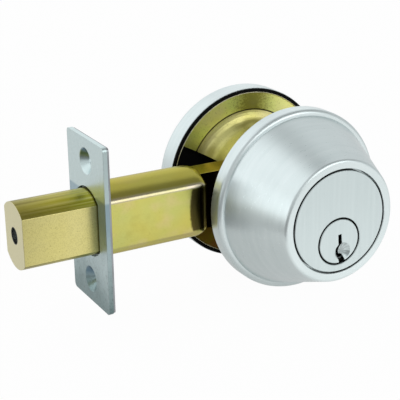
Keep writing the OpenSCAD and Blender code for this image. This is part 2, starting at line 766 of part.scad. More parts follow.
module turn_bushing() color("#2b2c2e") at_plug() difference() {
    union() {
        rod_y(bushing_flange_r, rose_face_y, turn_y - seat_gap);
        rod_y(bushing_r, rose_face_y - bushing_len, rose_face_y);
    }
    rod_y(shaft_r + run_gap, rose_face_y - bushing_len - cut, turn_y + cut);
}

module thumbturn() color("#c3ccd0") at_plug() difference() {
    union() {
        rod_y(shaft_r, shaft_y, turn_y);
        rod_y(turn_base_r, turn_y, grip_y);
        translate([0, grip_y, 0]) rotate([-90, 0, 0])
            cylinder(r1 = turn_base_r, r2 = turn_base_r - turn_chamfer, h = turn_chamfer);
        intersection() {
            along_y(grip_y, grip_top_y) union() {
                square([grip_len - grip_t, grip_t], center = true);
                both_sides((grip_len - grip_t) / 2) circle(r = grip_t / 2);
            }
            translate([0, grip_y, 0]) rotate([-90, 0, 0])
                cylinder(r1 = turn_base_r - turn_chamfer, r2 = grip_reach, h = grip_top_y - grip_y);
            translate([0, grip_top_y - grip_crown_r, 0]) rotate([0, 90, 0])
                cylinder(r = grip_crown_r, h = grip_len, center = true);
        }
    }
    blade_slot(shaft_y - cut, blade_end_y + slide_gap);
    difference() {
        rod_y(shaft_r + cut, clip_y - seat_gap, clip_y + clip_t + seat_gap);
        rod_y(shaft_r - clip_groove, clip_y - cut, clip_y + clip_t + cut);
    }
}

module spring_washer() color("#8d8f92") at_plug() difference() {
    rod_y(bushing_r - seat_gap, washer_y, washer_y + washer_t);
    rod_y(shaft_r + run_gap, washer_y - cut, washer_y + washer_t + cut);
}

module retaining_ring() color("#6f757a") at_plug() difference() {
    rod_y(bushing_r, clip_y, clip_y + clip_t);
    rod_y(shaft_r - clip_groove + press_gap, clip_y - cut, clip_y + clip_t + cut);
    translate([-clip_mouth / 2, clip_y - cut, 0]) cube([clip_mouth, clip_t + 2 * cut, 2 * bushing_r]);
}

outer_collar();
guard_ring();
outer_plate();
cylinder_body();
cylinder_plug();
key_pins();
driver_pins();
pin_springs();
pin_chamber_cover();
plug_cap();
tailpiece();
deadbolt();
bolt_roller();
bolt_tail();
tail_rivet();
bolt_case();
faceplate();
backing_plate();
rear_case();
rear_case_cover();
case_rivets();
drive_cam();
crank_pin();
detent_spring();
support_housing();
support_ring();
rose_gasket();
mount_plate();
mounting_screws();
inside_rose();
turn_bushing();
thumbturn();
spring_washer();
retaining_ring();
rose_screws();
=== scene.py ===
import math

import bpy
from mathutils import Matrix, Vector


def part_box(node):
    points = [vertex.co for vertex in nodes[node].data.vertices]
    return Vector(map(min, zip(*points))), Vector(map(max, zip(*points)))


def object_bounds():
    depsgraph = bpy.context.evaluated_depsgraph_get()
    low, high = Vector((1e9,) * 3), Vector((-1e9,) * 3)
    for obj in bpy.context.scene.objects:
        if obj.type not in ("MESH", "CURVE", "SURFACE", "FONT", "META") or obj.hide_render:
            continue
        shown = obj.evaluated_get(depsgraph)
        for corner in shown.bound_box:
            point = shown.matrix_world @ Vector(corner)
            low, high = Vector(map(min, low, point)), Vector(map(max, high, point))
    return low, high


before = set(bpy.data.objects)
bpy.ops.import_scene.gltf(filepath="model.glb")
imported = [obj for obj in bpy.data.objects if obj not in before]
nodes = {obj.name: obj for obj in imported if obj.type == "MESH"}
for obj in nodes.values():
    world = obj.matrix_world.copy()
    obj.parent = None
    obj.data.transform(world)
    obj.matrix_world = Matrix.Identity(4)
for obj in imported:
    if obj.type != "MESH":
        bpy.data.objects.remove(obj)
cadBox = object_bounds()
print("lock: frame loaded,", len(nodes), "parts")


# Helpers for node materials. In the dictionaries below, lengths are in metres, a fade is
# (where it starts, where it ends, value at its start, value at its end), a noise is
# (scale, detail, roughness), and a bump is (strength, depth).

def newMaterial(name, values):
    mat = bpy.data.materials.new(name)
    mat.use_nodes = True
    shader = mat.node_tree.nodes["Principled BSDF"]
    for socket, value in values.items():
        shader.inputs[socket].default_value = value
    return mat, mat.node_tree, shader


def addNode(tree, kind, inputs=None, **settings):
    node = tree.nodes.new(kind)
    for name, value in settings.items():
        setattr(node, name, value)
    for socket, value in (inputs or {}).items():
        if isinstance(value, bpy.types.NodeSocket):
            tree.links.new(value, node.inputs[socket])
        else:
            node.inputs[socket].default_value = value
    return node


def place(tree):
    return addNode(tree, "ShaderNodeTexCoord").outputs["Object"]


def axes(tree, vector):
    return addNode(tree, "ShaderNodeSeparateXYZ", {0: vector}).outputs


def math2(tree, operation, a, b=0.0):
    return addNode(tree, "ShaderNodeMath", {0: a, 1: b}, operation=operation).outputs[0]


def plus(tree, a, b):
    return math2(tree, "ADD", a, b)


def minus(tree, a, b):
    return math2(tree, "SUBTRACT", a, b)


def times(tree, a, b):
    return math2(tree, "MULTIPLY", a, b)


def absolute(tree, a):
    return math2(tree, "ABSOLUTE", a)


def distance(tree, a, b):
    return math2(tree, "SQRT", plus(tree, times(tree, a, a), times(tree, b, b)))


def ramp(tree, factor, low, high, toLow=0.0, toHigh=1.0):
    node = addNode(tree, "ShaderNodeMapRange", {"Value": factor, "From Min": low, "From Max": high,
                                                "To Min": toLow, "To Max": toHigh})
    return node.outputs["Result"]


def shifted(fade, base):
    # The same fade, with its two ends counted from a base.
    return (base + fade[0], base + fade[1], *fade[2:])


def scaled(fade, size):
    return (size * fade[0], size * fade[1], *fade[2:])


def noise(tree, vector, scale, detail=3.0, rough=0.5):
    node = addNode(tree, "ShaderNodeTexNoise", {"Vector": vector, "Scale": scale, "Detail": detail,
                                                "Roughness": rough})
    return node.outputs["Fac"]


def wander(tree, pattern, reach):
    # A noise pattern made a small way to and fro.
    return times(tree, minus(tree, pattern, 0.5), reach)


def stretched(tree, vector, scale):
    return addNode(tree, "ShaderNodeMapping", {"Vector": vector, "Scale": scale}).outputs["Vector"]


def mixColor(tree, factor, a, b):
    node = addNode(tree, "ShaderNodeMix", {"Factor": factor, 6: a, 7: b}, data_type="RGBA")
    return node.outputs[2]


def mixValue(tree, factor, a, b):
    return addNode(tree, "ShaderNodeMix", {"Factor": factor, 2: a, 3: b}).outputs[0]


def turnedPlace(tree, stretch):
    # Radius and depth across the strokes, and a short length of arc along them.
    x, y, z = axes(tree, place(tree))
    radius = distance(tree, x, z)
    angle = times(tree, math2(tree, "ARCTAN2", z, x), stretch)
    return addNode(tree, "ShaderNodeCombineXYZ", {0: radius, 1: y, 2: angle}).outputs[0]


def surface(tree, shader, color, roughness, height, bump, edge):
    strength, depth = bump
    tree.links.new(color, shader.inputs["Base Color"])
    tree.links.new(roughness, shader.inputs["Roughness"])
    bumps = addNode(tree, "ShaderNodeBump", {"Height": height, "Strength": strength,
                                             "Distance": depth})
    bevel = addNode(tree, "ShaderNodeBevel", {"Radius": edge}, samples=4)
    tree.links.new(bevel.outputs["Normal"], bumps.inputs["Normal"])
    tree.links.new(bumps.outputs["Normal"], shader.inputs["Normal"])


# Satin chrome, brushed round the lock's axis or straight along Z.
chromeLook = {
    "color": (0.715, 0.788, 0.788, 1),
    "shade": (0.66, 0.738, 0.738, 1),
    "metal": 0.87,                      # the rest of the light is scattered by the brushing
    "strokes": (5200, 2.0),
    "bands": (5200 / 9, 3.0),           # each nine strokes wide
    "clouds": (70, 3.0),
    "bandShare": 0.55,                  # of the tone; the clouds give the rest
    "toneFade": (0.35, 0.62),
    "turnedGrain": 0.0022,              # how little a stroke changes along its arc
    "straightGrain": 0.04,
    "roughness": (0.25, 0.75, 0.27, 0.33),
    "bump": (0.025, 0.00005),
    "edge": 0.00025,
}


def satinChrome(name, grain):
    look = chromeLook
    mat, tree, shader = newMaterial(name, {"Metallic": look["metal"]})
    if grain == "turned":
        across = turnedPlace(tree, look["turnedGrain"])
    else:
        across = stretched(tree, place(tree), (1, 1, look["straightGrain"]))
    strokes = noise(tree, across, *look["strokes"])
    bands = times(tree, noise(tree, across, *look["bands"]), look["bandShare"])
    clouds = times(tree, noise(tree, place(tree), *look["clouds"]), 1 - look["bandShare"])
    tone = ramp(tree, plus(tree, bands, clouds), *look["toneFade"])
    color = mixColor(tree, tone, look["shade"], look["color"])
    roughness = ramp(tree, strokes, *look["roughness"])
    surface(tree, shader, color, roughness, strokes, look["bump"], look["edge"])
    return mat


# The faceplate: the same chrome with mottled stains, and painted shade that darkens it towards its
# foot.
plateLook = {
    "color": (0.62, 0.735, 0.735, 1),
    # painted shade: the colour the plate darkens to at its foot and along its side edges
    "plateShade": (0.13, 0.205, 0.195, 1),
    "stain": (0.17, 0.215, 0.215, 1),
    "sink": (0.14, 0.22, 0.28, 1),      # painted shade on the upper wall of each countersink
    "darkReflection": (0.31, 0.43, 0.50, 1),     # painted dark reflection on the stretch beside the bolt
    "metal": 0.9,
    "strokes": (4200, 2.0),
    "grain": 0.04,                      # how little a stroke changes along Z
    "mottle": (900, 4.0, 0.65),
    "mottleBump": 0.8,
    "clouds": (110, 3.0),
    "footWander": 0.02,
    "footFade": (-0.005, -0.026, 0.0, 0.85),
    "slateTop": (0.0106, 0.0098),
    "slateFade": (-0.010, 0.002, 0.15, 0.85),
    "edgeFade": (-0.0003, -0.0001, 0.0, 0.3),   # painted shade along the side edge, counted from the plate's side edge
    "spotFade": (0.52, 0.70),
    # the mottled stains grow thicker towards the foot, adding to the painted shade there
    "spotHeight": (0.0, -0.022, 0.08, 0.8),
    "screws": 0.020625,                 # height of the screw holes above and below the middle
    "sinkRim": (0.0046, 0.0042),
    "sinkHeight": (-0.001, 0.0015),
    "roughness": (0.25, 0.75, 0.26, 0.36),
    "bump": (0.06, 0.00005),
    "edge": 0.00015,
}


def stainedShadedChrome(name):
    look = plateLook
    mat, tree, shader = newMaterial(name, {"Metallic": look["metal"]})
    where = place(tree)
    x, y, z = axes(tree, where)
    strokes = noise(tree, stretched(tree, where, (1, 1, look["grain"])), *look["strokes"])
    mottle = noise(tree, where, *look["mottle"])
    # Painted shade: the plate grows darker towards its foot.
    foot = plus(tree, z, wander(tree, noise(tree, where, *look["clouds"]), look["footWander"]))
    color = mixColor(tree, ramp(tree, foot, *look["footFade"]), look["color"], look["plateShade"])
    # Painted dark reflection on the stretch beside the bolt.
    beside = times(tree, ramp(tree, z, *look["slateTop"]), ramp(tree, z, *look["slateFade"]))
    color = mixColor(tree, beside, color, look["darkReflection"])
    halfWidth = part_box("faceplate")[1][1]
    # Painted shade along the plate's side edges.
    edge = ramp(tree, absolute(tree, y), *shifted(look["edgeFade"], halfWidth))
    color = mixColor(tree, edge, color, look["plateShade"])
    spots = times(tree, ramp(tree, mottle, *look["spotFade"]),
                  ramp(tree, foot, *look["spotHeight"]))
    color = mixColor(tree, spots, color, look["stain"])
    # Painted shade on the upper wall of each countersink.
    for middle in (look["screws"], -look["screws"]):
        up = minus(tree, z, middle)
        inside = ramp(tree, distance(tree, y, up), *look["sinkRim"])
        upper = ramp(tree, up, *look["sinkHeight"])
        color = mixColor(tree, times(tree, inside, upper), color, look["sink"])
    roughness = ramp(tree, strokes, *look["roughness"])
    height = plus(tree, strokes, times(tree, mottle, look["mottleBump"]))
    surface(tree, shader, color, roughness, height, look["bump"], look["edge"])
    return mat


# The cylinder's face: finer, straight brushing, cutter marks in the plug's dish, and painted
# shade: near-black behind the face and on the walls of the fine lines round body and plug.
faceLook = {
    "color": (0.60, 0.675, 0.675, 1),
    "shade": (0.57, 0.645, 0.645, 1),
    # painted shade: near-black inside the keyway and the gaps behind the face
    "inside": (0.012, 0.011, 0.009, 1),
    "cut": (0.20, 0.225, 0.225, 1),
    "strokes": (6500, 2.0),
    "bands": (6500 / 7, 3.0),
    "grain": 0.03,                      # how little a stroke changes along Z
    "toneFade": (0.3, 0.7),
    "darkStart": (0.00072, 0.00144),    # how deep behind the face the painted shade starts
    "darkEnd": (0.012, 0.0096),         # and where it ends
    "dish": (0.0015, -0.01056),         # the middle of the plug's dish
    "dishRim": (0.00312, 0.00302),
    "dishDepth": (0.00003, 0.0001),
    "cuts": (3.2, 3.0, 0.6),
    "cutWidth": 60,                     # how fast a cut changes from the middle outwards
    "cutFade": (0.40, 0.62, 0.12, 0.75),
    "plugHeight": -0.00686,             # of the plug's axis
    "wallStart": (-0.00012, -0.00004),  # painted shade on the walls of the fine lines round body and plug
    "wallEnd": (0.0005, 0.0004),
    "wallDepth": (0.00015, 0.0003),
    "roughness": (0.2, 0.8, 0.26, 0.42),
    "bump": (0.08, 0.00005),
    "edge": 0.00015,
}


def cylinderFace(name):
    look = faceLook
    mat, tree, shader = newMaterial(name, {"Metallic": 1.0})
    where = place(tree)
    x, y, z = axes(tree, where)
    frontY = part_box("cylinder_plug")[0][1]
    across = stretched(tree, where, (1, 1, look["grain"]))
    strokes = noise(tree, across, *look["strokes"])
    bands = noise(tree, across, *look["bands"])
    color = mixColor(tree, ramp(tree, bands, *look["toneFade"]), look["shade"], look["color"])
    # Painted shade: near-black behind the face.
    deep = times(tree, ramp(tree, y, *shifted(look["darkStart"], frontY)),
                 ramp(tree, y, *shifted(look["darkEnd"], frontY)))
    color = mixColor(tree, deep, color, look["inside"])

    fromX = minus(tree, x, look["dish"][0])
    fromZ = minus(tree, z, look["dish"][1])
    away = distance(tree, fromX, fromZ)
    turn = math2(tree, "ARCTAN2", fromZ, fromX)
    fan = addNode(tree, "ShaderNodeCombineXYZ", {0: turn, 1: times(tree, away, look["cutWidth"])})
    cuts = ramp(tree, noise(tree, fan.outputs[0], *look["cuts"]), *look["cutFade"])
    inDish = times(tree, ramp(tree, away, *look["dishRim"]),
                   ramp(tree, y, *shifted(look["dishDepth"], frontY)))
    color = mixColor(tree, times(tree, inDish, cuts), color, look["cut"])

    # Painted shade on the walls of the fine lines round body and plug.
    for part, height in (("cylinder_body", 0.0), ("cylinder_plug", look["plugHeight"])):
        low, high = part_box(part)
        half = (high[0] - low[0]) / 2
        radius = distance(tree, minus(tree, x, (low[0] + high[0]) / 2), minus(tree, z, height))
        wall = times(tree, ramp(tree, radius, *shifted(look["wallStart"], half)),
                     ramp(tree, radius, *shifted(look["wallEnd"], half)))
        behind = ramp(tree, y, *shifted(look["wallDepth"], frontY))
        color = mixColor(tree, times(tree, wall, behind), color, look["inside"])
    roughness = ramp(tree, strokes, *look["roughness"])
    surface(tree, shader, color, roughness, strokes, look["bump"], look["edge"])
    return mat


# Yellow zinc on stamped steel: gold with drifts of green, rose and olive.
zincLook = {
    "gold": (0.60, 0.545, 0.135, 1),
    "green": (0.55, 0.555, 0.17, 1),
    "rose": (0.68, 0.54, 0.30, 1),
    "olive": (0.40, 0.35, 0.055, 1),
    "wearAndHighlight": (0.60, 0.53, 0.42, 1),      # where the plating is rubbed off an edge, also a painted highlight
    # painted shade on the top of the rear case
    "topShade": (0.37, 0.31, 0.14, 1),
    # painted shade on the rear case's sides, and a painted dark reflection at the bolt case's
    # closed end
    "paintedDark": (0.040, 0.024, 0.008, 1),
    "sheen": (0.95, 0.9, 0.65, 1),
    "drift": (55, 2.0, 0.4),
    "second": (104.5, 2.0, 0.45),       # a second drift, stretched another way
    "secondWay": (1, 1.7, 1.3),
    "grain": (2600, 3.0, 0.6),
    "greenFade": (0.44, 0.60),
    "roseFade": (0.52, 0.68, 0.0, 0.45),
    "oliveFade": (0.42, 0.28, 0.0, 0.35),
    "grainFade": (0.60, 0.70, 0.0, 0.45),
    "roughness": (0.3, 0.7, 0.15, 0.27),
    "bump": (0.10, 0.00008),
    "edge": 0.0003,
}


def yellowZinc(name, own, masks=()):
    # Each mask is a function that says where one more colour of the dictionary shows.
    look = {**zincLook, **own}
    mat, tree, shader = newMaterial(name, {"Metallic": 1.0, "Specular Tint": look["sheen"]})
    where = place(tree)
    drift = noise(tree, where, *look["drift"])
    second = noise(tree, stretched(tree, where, look["secondWay"]), *look["second"])
    grain = noise(tree, where, *look["grain"])
    color = mixColor(tree, ramp(tree, drift, *look["greenFade"]), look["gold"], look["green"])
    color = mixColor(tree, ramp(tree, second, *look["roseFade"]), color, look["rose"])
    color = mixColor(tree, ramp(tree, second, *look["oliveFade"]), color, look["olive"])
    color = mixColor(tree, ramp(tree, grain, *look["grainFade"]), color, look["olive"])
    for mask, tone in masks:
        color = mixColor(tree, mask(tree, where), color, look[tone])
    roughness = ramp(tree, grain, *look["roughness"])
    surface(tree, shader, color, roughness, grain, look["bump"], look["edge"])
    return mat


# The bolt's case: painted shade on the round faces and towards the closed end, pale long edges
# of wear and painted highlight, and a painted dark reflection of the collar on the flat sides
# near the closed end. Along X, lengths are counted from the closed end.
caseLook = {
    "roundFade": (-0.0004, -0.0012, 0.0, 0.72),     # painted shade on the round faces, counted from the flat sides
    # painted shade: all faces a little darker towards the closed end by the collar
    "rearFade": (-0.026, -0.010, 0.0, 0.22),
    # painted dark reflection of the collar's back on the flat sides near the closed end
    "darkStart": (-0.0086, -0.0079),
    "darkEnd": (-0.0003, -0.0007),
    "darkHeight": (0.64, 0.58),         # share of the case's half height
    "darkShare": 0.90,
    "bow": 0.0009,                      # how far the painted reflection's front bends, following the collar's rim
    "bowHeight": 0.6,
    "specks": (900, 3.0),
    "speckReach": 0.0008,
    "flatFade": (-0.0012, -0.0004),
    "edgeLow": 0.60,                    # share of the half height where the pale band of wear and painted highlight starts
    "edgeHigh": 0.74,
    "edgeLowBlur": 0.0005,
    "edgeHighBlur": 0.0006,
    "rubs": (400, 2.0),
    "rubWay": (0.3, 1, 1),
    "rubFade": (0.25, 0.55, 0.4, 0.9),
    "upperFade": (-0.002, 0.002, 0.15, 1.0),        # the lower edges get less of the wear and painted highlight
}


# Painted shade: olive-dark round faces, and all faces a little darker towards the closed end.
def shadedRoundFaces(tree, where):
    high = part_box("bolt_case")[1]
    x, y, z = axes(tree, where)
    curved = ramp(tree, absolute(tree, y), *shifted(caseLook["roundFade"], high[1]))
    rear = ramp(tree, x, *shifted(caseLook["rearFade"], high[0]))
    return math2(tree, "MAXIMUM", curved, rear)


# Painted dark reflection of the collar's back on the flat sides near the closed end, bent like the
# reflected rim.
def endReflection(tree, where):
    look = caseLook
    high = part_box("bolt_case")[1]
    x, y, z = axes(tree, where)
    height = math2(tree, "DIVIDE", z, high[2] * look["bowHeight"])
    bow = times(tree, times(tree, height, height), look["bow"])
    specks = wander(tree, noise(tree, where, *look["specks"]), look["speckReach"])
    along = plus(tree, minus(tree, x, bow), specks)
    dark = times(tree, ramp(tree, along, *shifted(look["darkStart"], high[0])),
                 ramp(tree, x, *shifted(look["darkEnd"], high[0])))
    flat = ramp(tree, absolute(tree, z), *scaled(look["darkHeight"], high[2]))
    return times(tree, times(tree, dark, flat), look["darkShare"])


# Worn plating along the long edges of the flat sides, also a painted highlight.
def caseEdges(tree, where):
    look = caseLook
    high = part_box("bolt_case")[1]
    x, y, z = axes(tree, where)
    side = ramp(tree, absolute(tree, y), *shifted(look["flatFade"], high[1]))
    height = absolute(tree, z)
    low, top = high[2] * look["edgeLow"], high[2] * look["edgeHigh"]
    band = times(tree, ramp(tree, height, low, low + look["edgeLowBlur"]),
                 ramp(tree, height, top + look["edgeHighBlur"], top))
    rubs = noise(tree, stretched(tree, where, look["rubWay"]), *look["rubs"])
    rubbed = times(tree, ramp(tree, z, *look["upperFade"]), ramp(tree, rubs, *look["rubFade"]))
    return times(tree, times(tree, side, band), rubbed)


# The narrow rear case: browner, with painted shade on its top, pale edges of wear and painted
# highlight, and painted shade that makes its sides near-black. Counted from its sides.
railLook = {
    "sheen": (0.72, 0.64, 0.28, 1),
    "oliveFade": (0.42, 0.28, 0.0, 0.55),
    "top": (-0.0003, -0.0008, 0.0, 0.92),
    "edges": (-0.0007, -0.0003, 0.0, 0.8),
    "sides": (-0.00015, -0.00005),
}


def railBand(key):
    def band(tree, where):
        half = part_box("rear_case_cover")[1][1]
        return ramp(tree, absolute(tree, axes(tree, where)[1]), *shifted(railLook[key], half))
    return band


# The same plating on the inside housing, duller and paler, with a painted dark reflection at its
# top.
housingLook = {
    "gold": (0.90, 0.88, 0.17, 1),
    "pale": (0.96, 0.92, 0.38, 1),
    "green": (0.84, 0.92, 0.25, 1),
    "inner": (0.81, 0.755, 0.26, 1),
    "rose": (0.86, 0.77, 0.37, 1),
    "olive": (0.22, 0.20, 0.030, 1),
    "sheen": (0.80, 0.70, 0.10, 1),
    # painted shade in the crease at the neck's root and beside the window
    "crease": (0.26, 0.23, 0.035, 1),
    "rim": (0.92, 0.88, 0.62, 1),
    "seam": (0.05, 0.04, 0.008, 1),
    # painted shade at the foot, mixed with a rust tint
    "footShade": (0.085, 0.060, 0.002, 1),
    "rust": (0.085, 0.032, 0.006, 1),
    "gloss": 0.2,
    "metal": 0.66,
    "drift": (70, 2.0, 0.4),
    "second": (120, 2.0, 0.45),
    "secondWay": (1, 1.7, 1.3),
    "grain": (1500, 3.0, 0.65),
    "outsideFade": (-0.0002, 0.0002),   # from the seam between housing and ring
    "driftFade": (0.42, 0.60),
    "paleFade": (0.52, 0.66, 0.0, 0.5),
    "fold": 0.0194,                     # radius of the painted shade in the crease
    "foldWander": 0.004,
    "foldOut": (0.0016, 0.0004),
    "foldIn": (-0.0016, -0.0004),
    "foldShare": 0.65,
    "highlightSpots": (-0.55, 0.55),         # angles from the top of the painted highlights
    "spotWander": 0.6,
    "spotFade": (0.36, 0.10, 0.0, 0.6),
    "windowFade": (0.80, 1.10, 0.0, 0.5),       # painted shade towards the window
    "patch": 0.08,                      # angle of the painted dark reflection
    "patchWander": 0.5,
    "patchFade": (0.34, 0.10, 0.0, 0.85),
    "grainFade": (0.58, 0.70, 0.0, 0.35),
    "seamOffset": 0.00012,
    "seamFade": (0.00032, 0.00020, 0.0, 0.9),
    "footWander": 0.008,
    "rustFade": (0.44, 0.60),
    "footFade": (0.0, -0.012),
    "footShare": 0.97,
    "rimFade": (-0.0005, -0.0002),
    "roughness": (0.3, 0.7, 0.28, 0.41),
    "bump": (0.12, 0.00008),
    "edge": 0.0002,
}


def housingZinc(name):
    look = housingLook
    mat, tree, shader = newMaterial(name, {"Specular IOR Level": look["gloss"],
                                           "Specular Tint": look["sheen"]})
    where = place(tree)
    x, y, z = axes(tree, where)
    radius = distance(tree, x, z)
    angle = math2(tree, "ARCTAN2", x, z)
    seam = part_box("support_housing")[1][0]
    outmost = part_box("support_ring")[1][0]
    outside = ramp(tree, radius, *shifted(look["outsideFade"], seam))
    drift = noise(tree, where, *look["drift"])
    second = noise(tree, stretched(tree, where, look["secondWay"]), *look["second"])
    grain = noise(tree, where, *look["grain"])

    drifts = ramp(tree, drift, *look["driftFade"])
    inner = mixColor(tree, drifts, look["inner"], look["rose"])
    outer = mixColor(tree, drifts, look["gold"], look["green"])
    color = mixColor(tree, outside, inner, outer)
    color = mixColor(tree, ramp(tree, second, *look["paleFade"]), color, look["pale"])

    # Painted shade in the crease at the neck's root, painted highlights as pale spots, and painted
    # shade beside the window.
    root = plus(tree, radius, wander(tree, second, look["foldWander"]))
    crease = times(tree, ramp(tree, root, *shifted(look["foldOut"], look["fold"])),
                   ramp(tree, root, *shifted(look["foldIn"], look["fold"])))
    color = mixColor(tree, times(tree, crease, look["foldShare"]), color, look["crease"])
    # Painted highlights either side of the top.
    for middle in look["highlightSpots"]:
        near = plus(tree, absolute(tree, minus(tree, angle, middle)),
                    wander(tree, drift, look["spotWander"]))
        color = mixColor(tree, ramp(tree, near, *look["spotFade"]), color, look["pale"])
    beside = ramp(tree, absolute(tree, angle), *look["windowFade"])
    color = mixColor(tree, beside, color, look["crease"])

    # The painted dark reflection at the top, the specks, the seam line, painted shade with a rust
    # tint at the foot, and the bright rim.
    # Painted dark reflection at the top of the ring.
    near = plus(tree, absolute(tree, minus(tree, angle, look["patch"])),
                wander(tree, grain, look["patchWander"]))
    patch = times(tree, ramp(tree, near, *look["patchFade"]), outside)
    color = mixColor(tree, patch, color, look["olive"])
    color = mixColor(tree, ramp(tree, grain, *look["grainFade"]), color, look["olive"])
    aside = absolute(tree, minus(tree, radius, seam + look["seamOffset"]))
    color = mixColor(tree, ramp(tree, aside, *look["seamFade"]), color, look["seam"])
    # Painted shade at the foot, with a rust tint.
    foot = plus(tree, z, times(tree, drift, look["footWander"]))
    low = mixColor(tree, ramp(tree, second, *look["rustFade"]), look["footShade"], look["rust"])
    color = mixColor(tree, ramp(tree, foot, *look["footFade"], 0.0, look["footShare"]), color, low)
    metal = ramp(tree, foot, *look["footFade"], look["metal"], 1.0)
    tree.links.new(metal, shader.inputs["Metallic"])
    rim = ramp(tree, radius, *shifted(look["rimFade"], outmost))
    color = mixColor(tree, rim, color, look["rim"])
    roughness = ramp(tree, grain, *look["roughness"])
    surface(tree, shader, color, roughness, grain, look["bump"], look["edge"])
    return mat


# Drawn brass: long streaks on the round faces, painted shade making the round faces darker than the
# flats, small pits on the flats, a paler sawn end, and painted shade in the roller's bore.
brassLook = {
    "flat": (0.86, 0.775, 0.30, 1),
    # painted shade: the round faces darker than the flats
    "round": (0.40, 0.355, 0.035, 1),
    # painted shade inside the roller's bore
    "bore": (0.20, 0.21, 0.20, 1),
    "end": (0.74, 0.69, 0.43, 1),
    "pit": (0.26, 0.22, 0.05, 1),
    "drawn": (0.14, 0.11, 0.015, 1),    # the deeper drawing marks of the round faces
    "streaks": (900, 3.0, 0.6),
    "streakGrain": 0.02,                # how little a streak changes along X
    "streakFade": (0.42, 0.66, 0.0, 0.45),
    "marks": (480, 2.0, 0.5),
    "markGrain": 0.012,
    "markFade": (0.55, 0.68, 0.0, 0.75),
    "tipFade": (0.012, 0.001, 0.0, 0.7),        # from the bolt's end
    "grain": (2600, 3.0, 0.7),
    "grainFade": (0.46, 0.62, 0.0, 0.22),
    "pits": (1500, 2.0, 0.6),
    "pitFade": (0.66, 0.74, 0.0, 0.7),
    "pitBump": -0.6,
    "clouds": (90, 3.0),
    "cloudFade": (0.35, 0.7, 0.0, 0.15),
    "flatFade": (0.985, 0.999),         # share of the half width
    "endFade": (0.00012, 0.00004),
    "boreFade": (0.00295, 0.00285),
    "roughness": (0.3, 0.7, 0.28, 0.42),
    "bump": (0.12, 0.00006),
    "edge": 0.0003,
}


def boltBrass(name):
    look = brassLook
    mat, tree, shader = newMaterial(name, {"Metallic": 1.0})
    where = place(tree)
    x, y, z = axes(tree, where)
    low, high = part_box("deadbolt")
    onFlat = ramp(tree, absolute(tree, y), *scaled(look["flatFade"], high[1]))
    streaks = noise(tree, stretched(tree, where, (look["streakGrain"], 1, 1)), *look["streaks"])
    marks = noise(tree, stretched(tree, where, (look["markGrain"], 1, 1)), *look["marks"])
    pits = noise(tree, where, *look["pits"])
    grain = noise(tree, where, *look["grain"])
    clouds = ramp(tree, noise(tree, where, *look["clouds"]), *look["cloudFade"])

    tip = ramp(tree, x, *shifted(look["tipFade"], low[0]))
    # Painted shade: the round faces start from a darker colour than the flats.
    curved = mixColor(tree, ramp(tree, streaks, *look["streakFade"]), look["round"], look["flat"])
    curved = mixColor(tree, tip, curved, look["pit"])
    curved = mixColor(tree, ramp(tree, marks, *look["markFade"]), curved, look["drawn"])
    flat = mixColor(tree, ramp(tree, grain, *look["grainFade"]), look["flat"], look["pit"])
    flat = mixColor(tree, ramp(tree, pits, *look["pitFade"]), flat, look["pit"])
    color = mixColor(tree, onFlat, curved, flat)

    onEnd = ramp(tree, x, *shifted(look["endFade"], low[0]))
    color = mixColor(tree, onEnd, color, look["end"])
    color = mixColor(tree, times(tree, onFlat, clouds), color, look["end"])
    # Painted shade inside the roller's bore.
    bore = ramp(tree, distance(tree, y, z), *look["boreFade"])
    color = mixColor(tree, bore, color, look["bore"])
    roughness = ramp(tree, pits, *look["roughness"])
    height = plus(tree, streaks, times(tree, pits, look["pitBump"]))
    surface(tree, shader, color, roughness, height, look["bump"], look["edge"])
    return mat


# The plainer metals and the two black parts: colour, shade, metal, roughness, gloss.
plainLooks = {
    "steel": ((0.40, 0.42, 0.44, 1), (0.30, 0.31, 0.32, 1), 1.0, 0.36, 0.5),
    "springSteel": ((0.34, 0.35, 0.37, 1), (0.22, 0.23, 0.24, 1), 1.0, 0.3, 0.5),
    "pinBrass": ((0.66, 0.52, 0.22, 1), (0.50, 0.37, 0.13, 1), 1.0, 0.3, 0.5),
    "blackRubber": ((0.004, 0.004, 0.004, 1), (0.002, 0.002, 0.002, 1), 0.0, 0.8, 0.1),
    "rollerSteel": ((0.85, 0.89, 0.90, 1), (0.70, 0.74, 0.75, 1), 0.7, 0.5, 0.5),
    "blackNylon": ((0.028, 0.028, 0.030, 1), (0.018, 0.018, 0.020, 1), 0.0, 0.45, 0.5),
}
plainGrain = {
    "grain": (1800, 4.0, 0.6),
    "clouds": (120, 3.0),
    "cloudFade": (0.35, 0.65),
    "grainFade": (0.3, 0.7),
    "spread": 0.08,                     # how far the roughness wanders
    "bump": (0.12, 0.00006),
    "edge": 0.0002,
}


def plainMaterial(name):
    look = plainGrain
    color, shade, metal, rough, gloss = plainLooks[name]
    mat, tree, shader = newMaterial(name, {"Metallic": metal, "Specular IOR Level": gloss})
    where = place(tree)
    grain = noise(tree, where, *look["grain"])
    clouds = ramp(tree, noise(tree, where, *look["clouds"]), *look["cloudFade"])
    spread = look["spread"]
    roughness = ramp(tree, grain, *look["grainFade"], rough - spread, rough + spread)
    surface(tree, shader, mixColor(tree, clouds, shade, color), roughness, grain,
            look["bump"], look["edge"])
    return mat


# The plate on the collar's back: bare round the cylinder, and near-black outside that as painted
# shade for the hollow collar's dark inside.
backLook = {
    "bare": (0.86, 0.84, 0.74, 1),
    # painted shade: near-black for the hollow collar's dark inside
    "black": (0.020, 0.018, 0.014, 1),
    "metal": 0.3,
    "blackFade": (0.0181, 0.0197),      # radius where the painted shade starts
    "grain": (1800, 4.0, 0.6),
    "roughness": (0.3, 0.7, 0.42, 0.58),
    "bump": (0.12, 0.00006),
    "edge": 0.0002,
}


